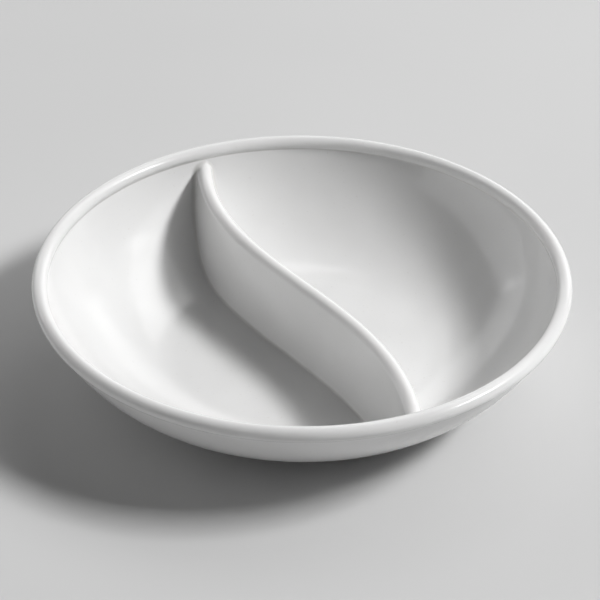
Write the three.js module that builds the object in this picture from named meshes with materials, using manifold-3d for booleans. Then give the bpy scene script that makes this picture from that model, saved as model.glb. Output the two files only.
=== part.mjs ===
// Chip and dip server: a round, shallow ceramic bowl with a rolled rim and a low foot ring,
// split into two compartments by an S-shaped wall.
//
// Millimetres, +Z up. The origin is the centre of the circle the foot ring stands on.
// Everything but the dividing wall is a body of revolution about the Z axis.

import * as THREE from 'three';
import { mergeVertices } from 'three/addons/utils/BufferGeometryUtils.js';
import Module from 'manifold-3d';

// ---- Driving dimensions ----

const rimRadius = 170; // outermost edge of the rolled rim
const overallHeight = 70; // from the table to the top of the rim
const rimBeadRadius = 4.8; // the rim is rolled into a round bead, proud of the wall inside and out
const wallThickness = 5.2;
const floorHeight = 8.7; // inside floor, above the table
const floorFlatRadius = 80; // the floor is flat out to here, then sweeps up to the rim
const innerSweepRadius = 87.7; // the inside of that sweep is one arc
const rimSeamAngle = degrees( 62 ); // where the rim ring sits on the shell, along the sweep

const footContactRadius = 92; // middle of the band that touches the table
const footContactWidth = 4;
const footRootWidth = 10; // the ring is wider where it meets the shell
const footEdgeHeight = 1.2; // the edges of the contact band are eased

const dividerTopHeight = 60.5;
const dividerTopRadius = 5.1; // the top is fully rounded
const dividerDraft = degrees( 7.5 ); // each face leans out this much towards the floor
const sCurveAngle = degrees( 18 ); // the S runs this far off the Y axis
const sCurveSwing = 25.7; // how far it bends to each side of its straight line
const sCurveHalfWave = 218;

const jointGap = 0.3; // between pieces that touch
const roundSegments = 72;
const sweepSegments = 10; // along the curved part of the shell's section
const beadQuarterSegments = 4; // each of the bead's inner, upper and outer parts
const dividerTopSegments = 8;
const sCurveSegments = 40;

// ---- Derived section of the bowl: (radius, height) ----

const beadCentre = new THREE.Vector2( rimRadius - rimBeadRadius, overallHeight - rimBeadRadius );

const outerSweepRadius = innerSweepRadius + wallThickness;
const sweepCentre = new THREE.Vector2( floorFlatRadius, floorHeight + innerSweepRadius );
const beadDistance = beadCentre.distanceTo( sweepCentre );

const white = { color: 0xe9e9e6, roughness: 0.12, metalness: 0 };
const bisque = { color: 0xdcd8cf, roughness: 0.65, metalness: 0 };

function degrees( value ) {

	return THREE.MathUtils.degToRad( value );

}

// Points on an arc about a centre; angles are from the radius axis, towards +Z.
function arc( centre, radius, from, to, steps ) {

	return Array.from( { length: steps + 1 }, ( _, i ) => {

		const angle = from + ( to - from ) * i / steps;
		return new THREE.Vector2( centre.x + radius * Math.cos( angle ), centre.y + radius * Math.sin( angle ) );

	} );

}

// Points on the bowl's sweep; a sweep angle is 0 at the floor and grows towards the rim.
function sweep( radius, from, to, steps = sweepSegments ) {

	return arc( sweepCentre, radius, from - Math.PI / 2, to - Math.PI / 2, steps );

}

// The sweep angle at which a face of the wall runs into the bead.
function creaseAngle( radius ) {

	const beadAngle = Math.atan2( beadCentre.x - sweepCentre.x, sweepCentre.y - beadCentre.y );
	const cosine = ( radius ** 2 + beadDistance ** 2 - rimBeadRadius ** 2 ) / ( 2 * radius * beadDistance );
	return beadAngle - Math.acos( cosine );

}

// Turns a closed section, or one that starts and ends on the axis, about the Z axis.
function turned( section ) {

	return new THREE.LatheGeometry( section, roundSegments ).rotateX( Math.PI / 2 );

}

// ---- Bowl shell: floor and wall up to the seam with the rim ring ----

function bowlShell() {

	const top = rimSeamAngle - jointGap / innerSweepRadius;
	return turned( [
		new THREE.Vector2( 0, floorHeight - wallThickness ),
		...sweep( outerSweepRadius, 0, top ),
		...sweep( innerSweepRadius, top, 0 ),
		new THREE.Vector2( 0, floorHeight ),
	] );

}

// ---- Rolled rim: the bead and the short neck that carries it on the shell ----

function rolledRim() {

	const innerNeck = sweep( innerSweepRadius, rimSeamAngle, creaseAngle( innerSweepRadius ), 2 );
	const outerNeck = sweep( outerSweepRadius, creaseAngle( outerSweepRadius ), rimSeamAngle, 2 );
	const heading = ( point ) => Math.atan2( point.y - beadCentre.y, point.x - beadCentre.x );
	const beadStart = heading( innerNeck[ innerNeck.length - 1 ] ) + 2 * Math.PI;
	const beadEnd = heading( outerNeck[ 0 ] );
	const bead = [
		...arc( beadCentre, rimBeadRadius, beadStart, Math.PI / 2, beadQuarterSegments ),
		...arc( beadCentre, rimBeadRadius, Math.PI / 2, 0, beadQuarterSegments ).slice( 1 ),
		...arc( beadCentre, rimBeadRadius, 0, beadEnd, beadQuarterSegments ).slice( 1 ),
	];
	const section = [ ...innerNeck, ...bead.slice( 1 ), ...outerNeck.slice( 1 ) ];
	return turned( [ ...section, section[ 0 ].clone() ].reverse() );

}

// ---- Foot ring: follows the underside of the shell and stands on a narrow flat band ----

function footRing() {

	const undersideAt = ( radius ) => {

		const across = radius - sweepCentre.x;
		return sweepCentre.y - Math.sqrt( ( outerSweepRadius + jointGap ) ** 2 - across ** 2 );

	};
	const innerRoot = footContactRadius - footRootWidth / 2;
	const outerRoot = footContactRadius + footRootWidth / 2;
	const innerEdge = footContactRadius - footContactWidth / 2;
	const outerEdge = footContactRadius + footContactWidth / 2;
	const section = [
		new THREE.Vector2( innerRoot, undersideAt( innerRoot ) ),
		new THREE.Vector2( innerEdge - footEdgeHeight, footEdgeHeight ),
		new THREE.Vector2( innerEdge, 0 ),
		new THREE.Vector2( outerEdge, 0 ),
		new THREE.Vector2( outerEdge + footEdgeHeight, footEdgeHeight ),
		new THREE.Vector2( outerRoot, undersideAt( outerRoot ) ),
		new THREE.Vector2( footContactRadius, undersideAt( footContactRadius ) ),
	];
	return turned( [ ...section, section[ 0 ].clone() ] );

}

// ---- Dividing wall: a tapered, round-topped section carried along the S, trimmed to the bowl ----

// The S is one wave of a sine about a straight line through the centre of the bowl.
class SCurve extends THREE.Curve {

	getPoint( t, target = new THREE.Vector3() ) {

		const along = ( 2 * t - 1 ) * rimRadius;
		const aside = - sCurveSwing * Math.sin( Math.PI * along / sCurveHalfWave );
		return target.set(
			aside * Math.cos( sCurveAngle ) - along * Math.sin( sCurveAngle ),
			aside * Math.sin( sCurveAngle ) + along * Math.cos( sCurveAngle ),
			dividerTopHeight,
		);

	}

}

// Section of the wall: x is the depth below the top, y is across the wall.
function dividerSection() {

	const depth = dividerTopHeight;
	const top = dividerTopRadius;
	const sideStart = top * ( 1 - Math.sin( dividerDraft ) ); // where the round top becomes a flat face
	const halfFoot = top * Math.cos( dividerDraft ) + ( depth - sideStart ) * Math.tan( dividerDraft );
	const section = new THREE.Shape();
	section.moveTo( depth, - halfFoot );
	section.lineTo( depth, halfFoot );
	section.absarc( top, 0, top, Math.PI / 2 + dividerDraft, 1.5 * Math.PI - dividerDraft, false );
	section.closePath();
	return section;

}

// The space inside the bowl that the wall may fill, a joint gap clear of the shell and the rim.
function cavity() {

	const clearSweep = sweep( innerSweepRadius - jointGap, 0, creaseAngle( innerSweepRadius ) );
	const lid = clearSweep[ clearSweep.length - 1 ].y;
	return turned( [
		new THREE.Vector2( 0, floorHeight + jointGap ),
		...clearSweep,
		new THREE.Vector2( 0, lid ),
	] );

}

function solid( wasm, geometry ) {

	const bare = geometry.clone();
	bare.deleteAttribute( 'normal' );
	bare.deleteAttribute( 'uv' );
	const merged = mergeVertices( bare );
	return new wasm.Manifold( new wasm.Mesh( {
		numProp: 3,
		vertProperties: new Float32Array( merged.attributes.position.array ),
		triVerts: new Uint32Array( merged.index.array ),
	} ) );

}

function toGeometry( manifold ) {

	const mesh = manifold.getMesh();
	const geometry = new THREE.BufferGeometry();
	geometry.setAttribute( 'position', new THREE.BufferAttribute( mesh.vertProperties, 3 ) );
	geometry.setIndex( new THREE.BufferAttribute( mesh.triVerts, 1 ) );
	geometry.computeVertexNormals();
	return geometry;

}

async function divider() {

	const wasm = await Module();
	wasm.setup();
	const wall = new THREE.ExtrudeGeometry( dividerSection(), {
		steps: sCurveSegments,
		curveSegments: dividerTopSegments,
		extrudePath: new SCurve(),
	} );
	return toGeometry( solid( wasm, wall ).intersect( solid( wasm, cavity() ) ) );

}

// ---- Assembly ----

function piece( name, geometry, finish ) {

	const mesh = new THREE.Mesh( geometry, new THREE.MeshStandardMaterial( finish ) );
	mesh.name = name;
	return mesh;

}

const server = new THREE.Group();
server.add( piece( 'bowl_shell', bowlShell(), white ) );
server.add( piece( 'rolled_rim', rolledRim(), white ) );
server.add( piece( 's_divider', await divider(), white ) );
server.add( piece( 'foot_ring', footRing(), bisque ) );

export default server;
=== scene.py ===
# Chip and dip server: the finished look of a glazed ceramic bowl with an S-shaped dividing wall.
# Metres, +Z up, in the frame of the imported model, which gives the sizes.

import math

import bmesh
import bpy
import numpy as np
from mathutils import Matrix, Vector


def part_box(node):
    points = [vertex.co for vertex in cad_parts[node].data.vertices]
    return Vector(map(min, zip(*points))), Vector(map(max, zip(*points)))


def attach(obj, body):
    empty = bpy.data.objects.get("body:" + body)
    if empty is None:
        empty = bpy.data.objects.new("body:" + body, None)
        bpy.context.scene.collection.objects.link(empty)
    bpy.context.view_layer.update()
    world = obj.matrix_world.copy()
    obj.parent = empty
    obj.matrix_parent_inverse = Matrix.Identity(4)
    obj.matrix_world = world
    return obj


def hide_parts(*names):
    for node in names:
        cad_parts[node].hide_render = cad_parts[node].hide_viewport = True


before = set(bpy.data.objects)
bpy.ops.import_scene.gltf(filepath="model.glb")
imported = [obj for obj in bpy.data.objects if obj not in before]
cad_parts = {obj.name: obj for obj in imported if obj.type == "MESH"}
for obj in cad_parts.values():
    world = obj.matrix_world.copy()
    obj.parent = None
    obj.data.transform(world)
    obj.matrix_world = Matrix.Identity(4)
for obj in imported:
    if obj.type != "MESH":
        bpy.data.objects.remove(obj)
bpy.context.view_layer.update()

MM = 0.001

# ---- Sizes: from the frame where it shows them, otherwise the model's own driving dimensions ----

rim_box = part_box("rolled_rim")
shell_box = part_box("bowl_shell")
divider_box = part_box("s_divider")
foot_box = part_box("foot_ring")

JOINT_GAP = 0.3 * MM
RIM_RADIUS = rim_box[1].x
RIM_HEIGHT = rim_box[1].z
FLOOR_HEIGHT = divider_box[0].z - JOINT_GAP
UNDERSIDE_HEIGHT = shell_box[0].z
WALL_THICKNESS = FLOOR_HEIGHT - UNDERSIDE_HEIGHT
DIVIDER_TOP = divider_box[1].z
FOOT_OUTER_ROOT = foot_box[1].x

BEAD_RADIUS = 4.8 * MM
INNER_SWEEP = 87.7 * MM
FLAT_RADIUS = 80 * MM
SEAM_ANGLE = math.radians(62)
CREASE_FILLET = 1.3 * MM
INNER_CREASE_FILLET = 1.8 * MM

FOOT_ROOT_WIDTH = 10 * MM
FOOT_CONTACT_WIDTH = 4 * MM
FOOT_EDGE_RADIUS = 0.9 * MM
FOOT_EDGE_TURN = math.radians(60)

DIVIDER_TOP_RADIUS = 5.1 * MM
DIVIDER_DRAFT = math.radians(7.5)
DIVIDER_FILLET = 2.4 * MM
END_FILLET = 3.4 * MM
S_ANGLE = math.radians(18)
S_SWING = 25.7 * MM
S_HALF_WAVE = 218 * MM

# ---- Camera ----

CAMERA_ELEVATION = math.radians(33.59)
CAMERA_ROLL = math.radians(0.415)
CAMERA_DISTANCE = 1.533
CAMERA_LENS = 145.7
CAMERA_SENSOR = 36
CAMERA_REACH = 30
AIM_LOWER = math.radians(0.600)
AIM_LEFT = math.radians(0.049)
AIM_BELOW_RIM = 4.1 * MM


def make_camera():
    """A long lens from the front, a third of the way up, aimed a little below the rim's centre."""
    forward = Vector((0, math.cos(CAMERA_ELEVATION), -math.sin(CAMERA_ELEVATION)))
    right = Vector((1, 0, 0))
    up = right.cross(forward)
    target = Vector((0, 0, RIM_HEIGHT - AIM_BELOW_RIM))
    place = target - forward * CAMERA_DISTANCE
    roll = Matrix.Rotation(-CAMERA_ROLL, 3, forward)
    right = roll @ right
    up = roll @ up
    aim = Matrix.Rotation(AIM_LEFT, 3, up) @ Matrix.Rotation(-AIM_LOWER, 3, right)
    axes = Matrix((aim @ right, aim @ up, aim @ -forward)).transposed()
    camera = bpy.data.objects.new("camera", bpy.data.cameras.new("camera"))
    camera.data.lens = CAMERA_LENS
    camera.data.sensor_width = CAMERA_SENSOR
    camera.data.clip_end = CAMERA_REACH
    camera.matrix_world = Matrix.Translation(place) @ axes.to_4x4()
    bpy.context.scene.collection.objects.link(camera)
    bpy.context.scene.camera = camera


# ---- The bowl's section, as (radius, height) ----

BEAD_CENTRE = np.array((RIM_RADIUS - BEAD_RADIUS, RIM_HEIGHT - BEAD_RADIUS))
OUTER_SWEEP = INNER_SWEEP + WALL_THICKNESS
SWEEP_CENTRE = np.array((FLAT_RADIUS, FLOOR_HEIGHT + INNER_SWEEP))

TURNS = 288
FLAT_STEPS = 16
SWEEP_STEPS = 64


def arc(centre, radius, start, end, steps, hollow=False):
    """(points, normals) along an arc. The normals point away from its centre, or to it if hollow."""
    angle = np.linspace(start, end, steps + 1)
    away = np.stack((np.cos(angle), np.sin(angle)), axis=1)
    return centre + radius * away, -away if hollow else away


def sweep(radius, start, end, steps, hollow=False):
    """An arc of the bowl's wall. The angle is 0 at the floor and grows towards the rim."""
    return arc(SWEEP_CENTRE, radius, start - math.pi / 2, end - math.pi / 2, steps, hollow)


def line(start, end, normal, steps=1):
    """(points, normals) along a straight line."""
    share = np.linspace(0, 1, steps + 1)[:, None]
    points = np.array(start) * (1 - share) + np.array(end) * share
    return points, np.tile(np.array(normal, float), (steps + 1, 1))


def joined(*runs):
    """One smooth run from several that follow each other."""
    points = [runs[0][0]] + [run[0][1:] for run in runs[1:]]
    normals = [runs[0][1]] + [run[1][1:] for run in runs[1:]]
    return np.concatenate(points), np.concatenate(normals)


def ball_between(centre_a, radius_a, centre_b, radius_b, side):
    """The place that is those distances from two centres. side is +1 or -1 and picks one of the two."""
    across = centre_b - centre_a
    gap = np.linalg.norm(across)
    along = (gap**2 + radius_a**2 - radius_b**2) / (2 * gap)
    out = math.sqrt(radius_a**2 - along**2)
    unit = across / gap
    return centre_a + unit * along + side * out * np.array((-unit[1], unit[0]))


def heading(centre, point):
    """The angle of a point as seen from a centre."""
    return math.atan2(point[1] - centre[1], point[0] - centre[0])


# ---- Meshes ----

WELD_DISTANCE = 0.002 * MM


class Patches:
    """Grids of points that meet edge to edge and become one closed mesh. Each corner keeps the surface's
    true normal, and each point its painted shading: +1 for painted shade in creases, -1 for painted light
    on upward-facing tops."""

    def __init__(self):
        self.points = []
        self.normals = []
        self.glaze = []
        self.faces = []
        self.count = 0

    def add(self, points, normals, glaze=None):
        rows, columns = points.shape[:2]
        if glaze is None:
            glaze = np.zeros((rows, columns))
        self.points.append(points.reshape(-1, 3))
        self.normals.append(normals.reshape(-1, 3))
        self.glaze.append(glaze.reshape(-1))
        index = np.arange(rows * columns).reshape(rows, columns) + self.count
        corners = (index[:-1, :-1], index[:-1, 1:], index[1:, 1:], index[1:, :-1])
        self.faces.append(np.stack(corners, axis=-1).reshape(-1, 4))
        self.count += rows * columns

    def turn(self, run, glaze=None):
        """Adds a run of the section, turned about the Z axis."""
        points, normals = run
        angle = np.linspace(0, 2 * math.pi, TURNS + 1)
        angle[-1] = 0
        ring = np.stack((np.cos(angle), np.sin(angle), np.zeros_like(angle)), axis=1)
        axis = np.array((0, 0, 1.0))
        place = points[:, None, :1] * ring + points[:, None, 1:] * axis
        facing = normals[:, None, :1] * ring + normals[:, None, 1:] * axis
        if glaze is not None:
            glaze = np.repeat(np.asarray(glaze)[:, None], TURNS + 1, axis=1)
        self.add(place, facing, glaze)

    def piece(self, name, node, slot, material):
        """Welds the patches into one object that stands for a CAD node."""
        mesh = bpy.data.meshes.new(name)
        mesh.from_pydata(np.concatenate(self.points), [], np.concatenate(self.faces))
        normals = np.concatenate(self.normals)
        work = bmesh.new()
        work.from_mesh(mesh)
        facing = work.loops.layers.float_vector.new("facing")
        # The glaze layer holds the painted shading: painted shade in creases, painted light on the wall's
        # top.
        glaze = work.verts.layers.float.new("glaze")
        work.verts.ensure_lookup_table()
        for vertex, value in zip(work.verts, np.concatenate(self.glaze)):
            vertex[glaze] = value
        for face in work.faces:
            face.smooth = True
            for corner in face.loops:
                corner[facing] = normals[corner.vert.index]
        bmesh.ops.remove_doubles(work, verts=work.verts, dist=WELD_DISTANCE)
        bmesh.ops.recalc_face_normals(work, faces=work.faces)
        work.to_mesh(mesh)
        work.free()
        kept = np.zeros(len(mesh.loops) * 3, np.float32)
        mesh.attributes["facing"].data.foreach_get("vector", kept)
        mesh.attributes.remove(mesh.attributes["facing"])
        mesh.normals_split_custom_set(kept.reshape(-1, 3))
        mesh.materials.append(material)
        piece = bpy.data.objects.new(name, mesh)
        bpy.context.scene.collection.objects.link(piece)
        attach(piece, "root")
        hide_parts(node)
        return piece


# ---- Bowl shell ----


def make_shell(material):
    """The floor and the swept wall, up to the seam with the rim."""
    underside = joined(
        line((0, UNDERSIDE_HEIGHT), (FLAT_RADIUS, UNDERSIDE_HEIGHT), (0, -1), FLAT_STEPS),
        sweep(OUTER_SWEEP, 0, SEAM_ANGLE, SWEEP_STEPS),
    )
    inside = joined(
        sweep(INNER_SWEEP, SEAM_ANGLE, 0, SWEEP_STEPS, hollow=True),
        line((FLAT_RADIUS, FLOOR_HEIGHT), (0, FLOOR_HEIGHT), (0, 1), FLAT_STEPS),
    )
    upward = np.array((math.cos(SEAM_ANGLE), math.sin(SEAM_ANGLE)))
    seam = line(underside[0][-1], inside[0][0], upward)
    shell = Patches()
    shell.turn(underside)
    shell.turn(seam)
    shell.turn(inside)
    return shell.piece("glazed_shell", "bowl_shell", "glaze", material)


# ---- Rolled rim ----

# The steps of the five runs of its section: neck, crease, bead, crease and neck.
INNER_NECK_STEPS = 10
INNER_CREASE_STEPS = 12
BEAD_STEPS = 44
OUTER_CREASE_STEPS = 10
OUTER_NECK_STEPS = 8

# Painted shade on those five runs: 1 in each crease.
RIM_CREASE_SHADE = (0, 1, 0, 1, 0)


def make_rim(material):
    """The bead, with a hollow fillet on each side where it stands proud of the wall."""
    inner_ball = ball_between(
        BEAD_CENTRE, BEAD_RADIUS + INNER_CREASE_FILLET, SWEEP_CENTRE, INNER_SWEEP - INNER_CREASE_FILLET, 1
    )
    outer_ball = ball_between(
        BEAD_CENTRE, BEAD_RADIUS + CREASE_FILLET, SWEEP_CENTRE, OUTER_SWEEP + CREASE_FILLET, 1
    )
    inner_top = heading(SWEEP_CENTRE, inner_ball)
    outer_top = heading(SWEEP_CENTRE, outer_ball)
    bead_start = heading(BEAD_CENTRE, inner_ball) + 2 * math.pi
    bead_end = heading(BEAD_CENTRE, outer_ball)
    half_turn = math.pi
    runs = (
        sweep(INNER_SWEEP, SEAM_ANGLE, inner_top + half_turn / 2, INNER_NECK_STEPS, hollow=True),
        arc(
            inner_ball, INNER_CREASE_FILLET, inner_top, bead_start - half_turn, INNER_CREASE_STEPS,
            hollow=True,
        ),
        arc(BEAD_CENTRE, BEAD_RADIUS, bead_start, bead_end, BEAD_STEPS),
        arc(
            outer_ball, CREASE_FILLET, bead_end + half_turn, outer_top + half_turn, OUTER_CREASE_STEPS,
            hollow=True,
        ),
        sweep(OUTER_SWEEP, outer_top + half_turn / 2, SEAM_ANGLE, OUTER_NECK_STEPS),
    )
    outside = joined(*runs)
    downward = -np.array((math.cos(SEAM_ANGLE), math.sin(SEAM_ANGLE)))
    rim = Patches()
    rim.turn(outside, rim_crease_shade([len(run[0]) for run in runs]))
    rim.turn(line(outside[0][-1], outside[0][0], downward))
    return rim.piece("rolled_rim_bead", "rolled_rim", "glaze", material)


def rim_crease_shade(counts):
    """Painted shade in the crease on each side of the bead, none elsewhere."""
    shares = [painted_shading * np.sin(np.linspace(0, math.pi, count)) ** 2 for painted_shading, count in zip(RIM_CREASE_SHADE, counts)]
    return np.concatenate([shares[0]] + [share[1:] for share in shares[1:]])


# ---- Foot ring ----

FOOT_EDGE_STEPS = 8
FOOT_FLANK_STEPS = 6
FOOT_BAND_STEPS = 4
FOOT_ROOF_STEPS = 8


def make_foot(material):
    """The ring that hangs from the underside of the shell, with its lower edges eased."""
    def underside(radius):
        across = radius - SWEEP_CENTRE[0]
        return SWEEP_CENTRE[1] - math.sqrt(OUTER_SWEEP**2 - across**2)

    outer_root = FOOT_OUTER_ROOT
    inner_root = outer_root - FOOT_ROOT_WIDTH
    middle = (inner_root + outer_root) / 2
    half_band = FOOT_CONTACT_WIDTH / 2
    inner_flank = flank(middle - half_band, (inner_root, underside(inner_root)), -1)
    outer_flank = flank(middle + half_band, (outer_root, underside(outer_root)), 1)
    band = line((middle - half_band, 0), (middle + half_band, 0), (0, -1), FOOT_BAND_STEPS)
    outside = joined(inner_flank, band, (outer_flank[0][::-1], outer_flank[1][::-1]))
    foot = Patches()
    foot.turn(outside)
    foot.turn(line(outside[0][-1], outside[0][0], (0, 1), FOOT_ROOF_STEPS))
    return foot.piece("foot_ring_bisque", "foot_ring", "bisque", material)


def flank(edge, root, side):
    """One side of the foot, from its root on the bowl down round the eased edge to the contact band."""
    centre = np.array((edge, FOOT_EDGE_RADIUS))
    bottom = -math.pi / 2
    eased = arc(centre, FOOT_EDGE_RADIUS, bottom + side * FOOT_EDGE_TURN, bottom, FOOT_EDGE_STEPS)
    start = eased[0][0]
    slope = line(root, start, eased[1][0], FOOT_FLANK_STEPS)
    return joined(slope, eased)


# ---- Dividing wall ----

STATIONS = 260
SIDE_STEPS = 14
TOP_STEPS = 24
FILLET_STEPS = 12
SEARCH_TRIALS = 1201
SEARCH_HALVINGS = 50

# The fillet starts to grow at this share of the rim's radius, and takes this much more to do so.
END_START = 0.55
END_SPAN = 0.4

# The wall's closed underside lies this far inside the clay of the bowl.
SINK_DEPTH = 1.5 * MM


def s_line(along):
    """(points, headings to the right) on the S, seen from above; along runs from the front to the back."""
    wave = math.pi / S_HALF_WAVE
    aside = -S_SWING * np.sin(wave * along)
    slope = -S_SWING * wave * np.cos(wave * along)
    back = np.array((-math.sin(S_ANGLE), math.cos(S_ANGLE)))
    right = np.array((math.cos(S_ANGLE), math.sin(S_ANGLE)))
    points = aside[..., None] * right + along[..., None] * back
    across = (right - slope[..., None] * back) / np.sqrt(1 + slope**2)[..., None]
    return points, across


def wall_section(distance):
    """(offset, height, normal across, normal up) on the wall's outline, at a signed distance round it from
    the middle of its top."""
    bend = math.pi / 2 - DIVIDER_DRAFT
    side = np.sign(distance)
    angle = np.clip(np.abs(distance) / DIVIDER_TOP_RADIUS, 0, bend)
    down = np.maximum(np.abs(distance) - DIVIDER_TOP_RADIUS * bend, 0)
    offset = DIVIDER_TOP_RADIUS * np.sin(angle) + down * math.sin(DIVIDER_DRAFT)
    height = DIVIDER_TOP - DIVIDER_TOP_RADIUS * (1 - np.cos(angle)) - down * math.cos(DIVIDER_DRAFT)
    return side * offset, height, side * np.sin(angle), np.cos(angle)


def fillet_radius(along):
    """Small along the foot of the wall, larger where its ends run into the side of the bowl."""
    share = np.clip((np.abs(along) / RIM_RADIUS - END_START) / END_SPAN, 0, 1)
    return DIVIDER_FILLET + (END_FILLET - DIVIDER_FILLET) * share * share * (3 - 2 * share)


def wall_surface(along, distance):
    """(points, normals) on the wall's own surface, before it meets the bowl."""
    centre, across = s_line(along)
    offset, height, out, up = wall_section(distance)
    points = np.concatenate((centre + across * offset[..., None], height[..., None]), axis=-1)
    normals = np.concatenate((across * out[..., None], up[..., None]), axis=-1)
    return points, normals


def above_bowl(points):
    """(distance from the bowl's inner surface, direction to it)."""
    radius = np.hypot(points[..., 0], points[..., 1])
    outward = points[..., :2] / np.maximum(radius, MM)[..., None]
    across = np.maximum(radius - SWEEP_CENTRE[0], 0)
    rise = points[..., 2] - SWEEP_CENTRE[1]
    reach = np.hypot(across, rise)
    direction = np.concatenate((outward * (across / reach)[..., None], (rise / reach)[..., None]), axis=-1)
    return INNER_SWEEP - reach, direction


def ball_clearance(along, distance):
    """How far the bowl's surface is from a fillet ball that touches the wall there."""
    points, normals = wall_surface(along, distance)
    radius = fillet_radius(along)
    return above_bowl(points + radius[..., None] * normals)[0] - radius


def clear_span(along):
    """(lowest, highest) distance round the section where the wall stands clear of its fillets, and the
    best clearance, for each station."""
    longest = DIVIDER_TOP + DIVIDER_TOP_RADIUS
    trial = np.linspace(-longest, longest, SEARCH_TRIALS)
    clearance = ball_clearance(along[:, None] + 0 * trial, 0 * along[:, None] + trial)
    best = trial[np.argmax(clearance, axis=1)]
    ends = []
    for side in (-1, 1):
        inner, outer = best.copy(), np.full_like(best, side * longest)
        for _ in range(SEARCH_HALVINGS):
            middle = (inner + outer) / 2
            clear = ball_clearance(along, middle) > 0
            inner = np.where(clear, middle, inner)
            outer = np.where(clear, outer, middle)
        ends.append(inner)
    return ends[0], ends[1], clearance.max(axis=1)


def wall_tip(side):
    """How far along the S the wall's own surface reaches before its fillets close over it."""
    inside, outside = 0.0, side * RIM_RADIUS
    for _ in range(SEARCH_HALVINGS):
        middle = (inside + outside) / 2
        if clear_span(np.array([middle]))[2][0] > 0:
            inside = middle
        else:
            outside = middle
    return inside


def fillet(points, normals, radius, reverse):
    """The arc that a ball leaves between a point of the wall and the bowl, for each station."""
    centres = points + radius[:, None] * normals
    start = -normals
    end = above_bowl(centres)[1]
    angle = np.arccos(np.clip(np.sum(start * end, axis=-1), -1, 1))[:, None, None]
    share = np.linspace(0, 1, FILLET_STEPS + 1)[None, :, None]
    direction = (np.sin((1 - share) * angle) * start[:, None] + np.sin(share * angle) * end[:, None])
    direction = direction / np.sin(angle)
    arcs = centres[:, None] + radius[:, None, None] * direction
    if reverse:
        return arcs[:, ::-1], -direction[:, ::-1]
    return arcs, -direction


def make_divider(material):
    """The wall's two faces and round top in one sheet, with a fillet down each long edge, closed below."""
    front, back = wall_tip(-1), wall_tip(1)
    middle, half = (back + front) / 2, (back - front) / 2
    along = middle + half * np.sin(np.linspace(-1, 1, STATIONS + 1) * math.pi / 2)
    left, right, _ = clear_span(along)

    round_end = DIVIDER_TOP_RADIUS * (math.pi / 2 - DIVIDER_DRAFT)
    left_round = np.clip(-round_end, left, right)
    right_round = np.clip(round_end, left, right)
    breaks = (
        (left, left_round, SIDE_STEPS),
        (left_round, right_round, TOP_STEPS),
        (right_round, right, SIDE_STEPS),
    )
    distance = np.concatenate(
        [a[:, None] + (b - a)[:, None] * np.arange(n) / n for a, b, n in breaks] + [right[:, None]], axis=1
    )
    face, facing = wall_surface(along[:, None] + 0 * distance, distance)
    radius = fillet_radius(along)
    left_arc, left_facing = fillet(face[:, 0], facing[:, 0], radius, reverse=True)
    right_arc, right_facing = fillet(face[:, -1], facing[:, -1], radius, reverse=False)
    points = np.concatenate((left_arc, face[:, 1:-1], right_arc), axis=1)
    normals = np.concatenate((left_facing, facing[:, 1:-1], right_facing), axis=1)

    # Painted shade down the fillets at the wall's foot, and painted light on its upward-facing top.
    crease_shade = np.sin(np.linspace(0, math.pi, FILLET_STEPS + 1)) ** 2
    top_light = -(facing[:, 1:-1, 2].clip(0, 1) ** 2)
    crease_shades = np.repeat(crease_shade[None], len(along), axis=0)
    glaze = np.concatenate((crease_shades, top_light, crease_shades), axis=1)

    wall = Patches()
    wall.add(points, normals, glaze)
    sunk_left = points[:, 0] - SINK_DEPTH * normals[:, 0]
    sunk_right = points[:, -1] - SINK_DEPTH * normals[:, -1]
    below = np.stack((points[:, -1], sunk_right, sunk_left, points[:, 0]), axis=1)
    wall.add(below, np.broadcast_to(np.array((0, 0, -1.0)), below.shape))
    return wall.piece("s_divider_wall", "s_divider", "glaze", material)


# ---- Materials ----

GLAZE_COLOUR = (0.745, 0.744, 0.741)
# Painted light: a lighter colour on the wall's upward-facing top.
TOP_PAINTED_LIGHT = (0.79, 0.787, 0.782)
# Painted shade: a darker grey in the creases and the fillets at the wall's foot.
CREASE_PAINTED_SHADE = (0.62, 0.615, 0.60)
GLAZE_IOR = 1.5

# Noise mostly lies between these two values.
NOISE_LOW = 0.3
NOISE_HIGH = 0.7

CLOUD_SIZE = 60 * MM
CLOUD_TONES = (0.97, 1.03)
SHEEN_SIZE = 18 * MM
SHEEN_DETAIL = 4
SHEEN_ROUGHNESS = (0.11, 0.17)
WAVE_SIZE = 28 * MM
WAVE_DEPTH = 0.10 * MM
PEEL_SIZE = 2.4 * MM
PEEL_DEPTH = 0.003 * MM

# Specks show where their noise is above the first value, and are full at the second.
SPECK_SIZE = 1.6 * MM
SPECK_DETAIL = 0
SPECK_COLOUR = (0.45, 0.42, 0.38)
SPECK_NOISE = (0.79, 0.83)
SPECK_STRENGTH = 0.12

BISQUE_DARK = (0.66, 0.62, 0.55)
BISQUE_LIGHT = (0.74, 0.71, 0.65)

# The foot's glaze ends between these heights, along a line that wanders this far up and down.
GLAZE_END = (0.9 * MM, 1.3 * MM)
GLAZE_END_WANDER = 0.25 * MM
WANDER_SIZE = 7 * MM
GRIT_SIZE = 0.5 * MM
GRIT_DETAIL = 3
GRIT_NOISE = (0.35, 0.65)
GRIT_DEPTH = 0.06 * MM
GRIT_UNDER_GLAZE = 0.03
BARE_ROUGHNESS = 0.75
GLAZED_ROUGHNESS = 0.14

FLOOR_PATCH_SIZE = 0.4
FLOOR_DARK = (0.595, 0.595, 0.595)
FLOOR_LIGHT = (0.615, 0.615, 0.615)
FLOOR_ROUGHNESS = 0.9

# Where the colour mix node keeps its colours, because its sockets share their names.
MIX_FIRST = 6
MIX_SECOND = 7
MIX_RESULT = 2


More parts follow.
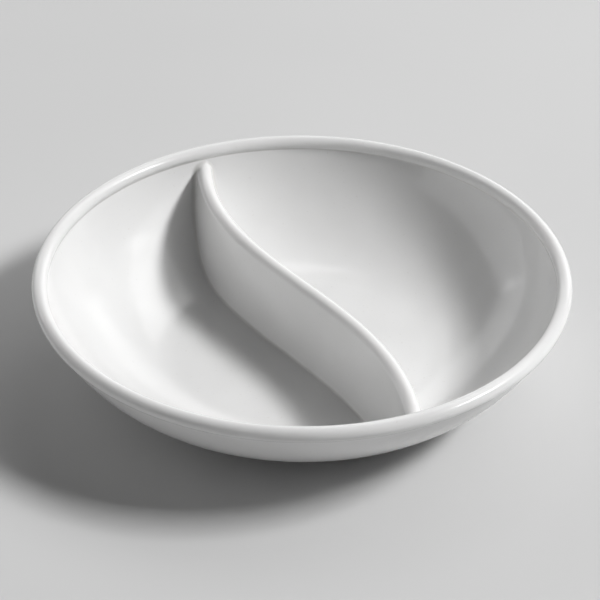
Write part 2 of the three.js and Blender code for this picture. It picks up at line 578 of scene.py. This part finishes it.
class Graph:
    """The node tree of one material."""

    def __init__(self, name):
        self.material = bpy.data.materials.new(name)
        self.material.use_nodes = True
        self.tree = self.material.node_tree
        self.shader = self.tree.nodes["Principled BSDF"]
        self.place = self.node("ShaderNodeTexCoord").outputs["Object"]

    def node(self, kind, settings=None, **inputs):
        node = self.tree.nodes.new(kind)
        for name, value in (settings or {}).items():
            setattr(node, name, value)
        for name, value in inputs.items():
            self.put(node.inputs[name.replace("_", " ")], value)
        return node

    def put(self, socket, value):
        if isinstance(value, bpy.types.NodeSocket):
            self.tree.links.new(value, socket)
        else:
            socket.default_value = value

    def noise(self, size, detail=2.0):
        """Noise from 0 to 1 with features of about that size, in metres."""
        return self.node(
            "ShaderNodeTexNoise", Vector=self.place, Scale=1 / size, Detail=detail
        ).outputs["Fac"]

    def span(self, value, low, high, out_low, out_high):
        """Maps low..high to out_low..out_high, and holds the ends."""
        return self.node(
            "ShaderNodeMapRange",
            Value=value,
            From_Min=low,
            From_Max=high,
            To_Min=out_low,
            To_Max=out_high,
        ).outputs["Result"]

    def mix(self, share, a, b):
        node = self.node("ShaderNodeMix", {"data_type": "RGBA"})
        self.put(node.inputs["Factor"], share)
        self.put(node.inputs[MIX_FIRST], a)
        self.put(node.inputs[MIX_SECOND], b)
        return node.outputs[MIX_RESULT]

    def math(self, operation, a, b=0.0):
        node = self.node("ShaderNodeMath", {"operation": operation})
        self.put(node.inputs[0], a)
        self.put(node.inputs[1], b)
        return node.outputs[0]

    def bump(self, height, depth, before=None):
        """Relief from a height of 0 to 1 that is that deep, in metres."""
        node = self.node("ShaderNodeBump", Height=height, Distance=depth, Strength=1.0)
        if before is not None:
            self.put(node.inputs["Normal"], before)
        return node.outputs["Normal"]


def rgb(colour):
    return (*colour, 1.0)


def make_glaze():
    """Smooth white glaze with painted light on the wall's top, painted shade in creases, and faint waves
    and specks.
    """
    graph = Graph("white_glaze")
    # The glaze attribute holds painted shading: below 0 is painted light on the wall's top, above 0 is
    # painted shade in creases.
    painted_shading = graph.node("ShaderNodeAttribute", {"attribute_name": "glaze"}).outputs["Fac"]
    top_light = graph.span(painted_shading, 0.0, -1.0, 0.0, 1.0)
    crease_shade = graph.span(painted_shading, 0.0, 1.0, 0.0, 1.0)
    clouds = graph.span(graph.noise(CLOUD_SIZE), NOISE_LOW, NOISE_HIGH, *CLOUD_TONES)
    colour = graph.mix(top_light, rgb(GLAZE_COLOUR), rgb(TOP_PAINTED_LIGHT))
    colour = graph.mix(crease_shade, colour, rgb(CREASE_PAINTED_SHADE))
    clouded = graph.node("ShaderNodeVectorMath", {"operation": "SCALE"})
    graph.put(clouded.inputs[0], colour)
    graph.put(clouded.inputs["Scale"], clouds)
    specks = graph.span(graph.noise(SPECK_SIZE, SPECK_DETAIL), *SPECK_NOISE, 0.0, SPECK_STRENGTH)
    colour = graph.mix(specks, clouded.outputs[0], rgb(SPECK_COLOUR))
    graph.put(graph.shader.inputs["Base Color"], colour)
    sheen = graph.noise(SHEEN_SIZE, SHEEN_DETAIL)
    graph.put(graph.shader.inputs["Roughness"], graph.span(sheen, NOISE_LOW, NOISE_HIGH, *SHEEN_ROUGHNESS))
    waves = graph.bump(graph.noise(WAVE_SIZE), WAVE_DEPTH)
    peel = graph.bump(graph.noise(PEEL_SIZE), PEEL_DEPTH, waves)
    graph.put(graph.shader.inputs["Normal"], peel)
    graph.shader.inputs["IOR"].default_value = GLAZE_IOR
    return graph.material


def make_bisque():
    """Glazed flanks, with the narrow band that stands on the table left bare and slightly gritty."""
    graph = Graph("bare_foot")
    height = graph.node("ShaderNodeSeparateXYZ", Vector=graph.place).outputs["Z"]
    wander = graph.span(
        graph.noise(WANDER_SIZE), NOISE_LOW, NOISE_HIGH, -GLAZE_END_WANDER, GLAZE_END_WANDER
    )
    edge = graph.math("ADD", height, wander)
    glazed = graph.span(edge, *GLAZE_END, 0.0, 1.0)
    grit = graph.noise(GRIT_SIZE, GRIT_DETAIL)
    bare = graph.mix(graph.span(grit, *GRIT_NOISE, 0, 1), rgb(BISQUE_DARK), rgb(BISQUE_LIGHT))
    graph.put(graph.shader.inputs["Base Color"], graph.mix(glazed, bare, rgb(GLAZE_COLOUR)))
    roughness = graph.span(glazed, 0.0, 1.0, BARE_ROUGHNESS, GLAZED_ROUGHNESS)
    graph.put(graph.shader.inputs["Roughness"], roughness)
    depth = graph.math("MULTIPLY", grit, graph.span(glazed, 0.0, 1.0, 1.0, GRIT_UNDER_GLAZE))
    graph.put(graph.shader.inputs["Normal"], graph.bump(depth, GRIT_DEPTH))
    return graph.material


def make_floor_material():
    """Matt and pale, with a faint change of tone."""
    graph = Graph("pale_floor")
    tone = graph.span(graph.noise(FLOOR_PATCH_SIZE), NOISE_LOW, NOISE_HIGH, 0.0, 1.0)
    colour = graph.mix(tone, rgb(FLOOR_DARK), rgb(FLOOR_LIGHT))
    graph.put(graph.shader.inputs["Base Color"], colour)
    graph.shader.inputs["Roughness"].default_value = FLOOR_ROUGHNESS
    graph.shader.inputs["Specular IOR Level"].default_value = 0.0
    return graph.material


# ---- Studio ----

FLOOR_SIZE = 12.0
ROOM_BRIGHTNESS = 0.05

# Soft boxes that face the object. Each is (direction it stands in, counted from the right towards the
# back, elevation, half its width, half its height, all in degrees, and its brightness).
LIGHT_DISTANCE = 6.0
KEY = (-3.0, 44.0, 9.7, 4.0, 62.0)
KEY_GLINT = 40.0  # brightness of the key's mirror image
KEY_SPILL = (45.0, 52.0, 30.0, 12.0, 1.9)
BACK_PANEL = (95.0, 17.0, 45.0, 14.0, 1.3)
LEFT_PANEL = (176.0, 18.0, 36.0, 14.0, 1.2)
RIGHT_PANEL = (0.0, 37.0, 17.5, 5.0, 1.2)


def make_floor():
    mesh = bpy.data.meshes.new("floor")
    work = bmesh.new()
    bmesh.ops.create_grid(work, x_segments=1, y_segments=1, size=FLOOR_SIZE / 2)
    work.to_mesh(mesh)
    work.free()
    mesh.materials.append(make_floor_material())
    floor = bpy.data.objects.new("floor", mesh)
    bpy.context.scene.collection.objects.link(floor)


def soft_box(name, azimuth, elevation, half_width, half_height, brightness):
    """An area light that faces the object. Its brightness doesn't depend on its size."""
    azimuth, elevation = math.radians(azimuth), math.radians(elevation)
    direction = Vector((
        math.cos(elevation) * math.cos(azimuth),
        math.cos(elevation) * math.sin(azimuth),
        math.sin(elevation),
    ))
    light = bpy.data.lights.new(name, "AREA")
    light.shape = "RECTANGLE"
    light.size = 2 * LIGHT_DISTANCE * math.tan(math.radians(half_width))
    light.size_y = 2 * LIGHT_DISTANCE * math.tan(math.radians(half_height))
    light.energy = brightness * math.pi * light.size * light.size_y
    box = bpy.data.objects.new(name, light)
    box.location = direction * LIGHT_DISTANCE
    box.rotation_mode = "QUATERNION"
    box.rotation_quaternion = direction.to_track_quat("Z", "Y")
    bpy.context.scene.collection.objects.link(box)
    return box


def split_key(lit_edges):
    """The key lights everything, but its mirror image shows only in the edges."""
    key = soft_box("key", *KEY)
    key.visible_glossy = False
    glint = soft_box("key_glint", *KEY[:4], KEY_GLINT)
    glint.visible_diffuse = False
    receivers = bpy.data.collections.new("edges")
    for piece in lit_edges:
        receivers.objects.link(piece)
    glint.light_linking.receiver_collection = receivers


def make_room():
    """A dim white surround, which fills what the soft boxes leave dark."""
    world = bpy.data.worlds.new("room")
    world.use_nodes = True
    background = world.node_tree.nodes["Background"]
    background.inputs["Color"].default_value = rgb((1.0, 1.0, 1.0))
    background.inputs["Strength"].default_value = ROOM_BRIGHTNESS
    bpy.context.scene.world = world


# ---- Scene ----

make_camera()
glaze = make_glaze()
make_shell(glaze)
rim = make_rim(glaze)
wall = make_divider(glaze)
make_foot(make_bisque())
make_floor()
split_key((rim, wall))
soft_box("key_spill", *KEY_SPILL)
soft_box("back_panel", *BACK_PANEL)
soft_box("left_panel", *LEFT_PANEL)
soft_box("right_panel", *RIGHT_PANEL)
make_room()
bpy.context.scene.view_settings.view_transform = "Standard"
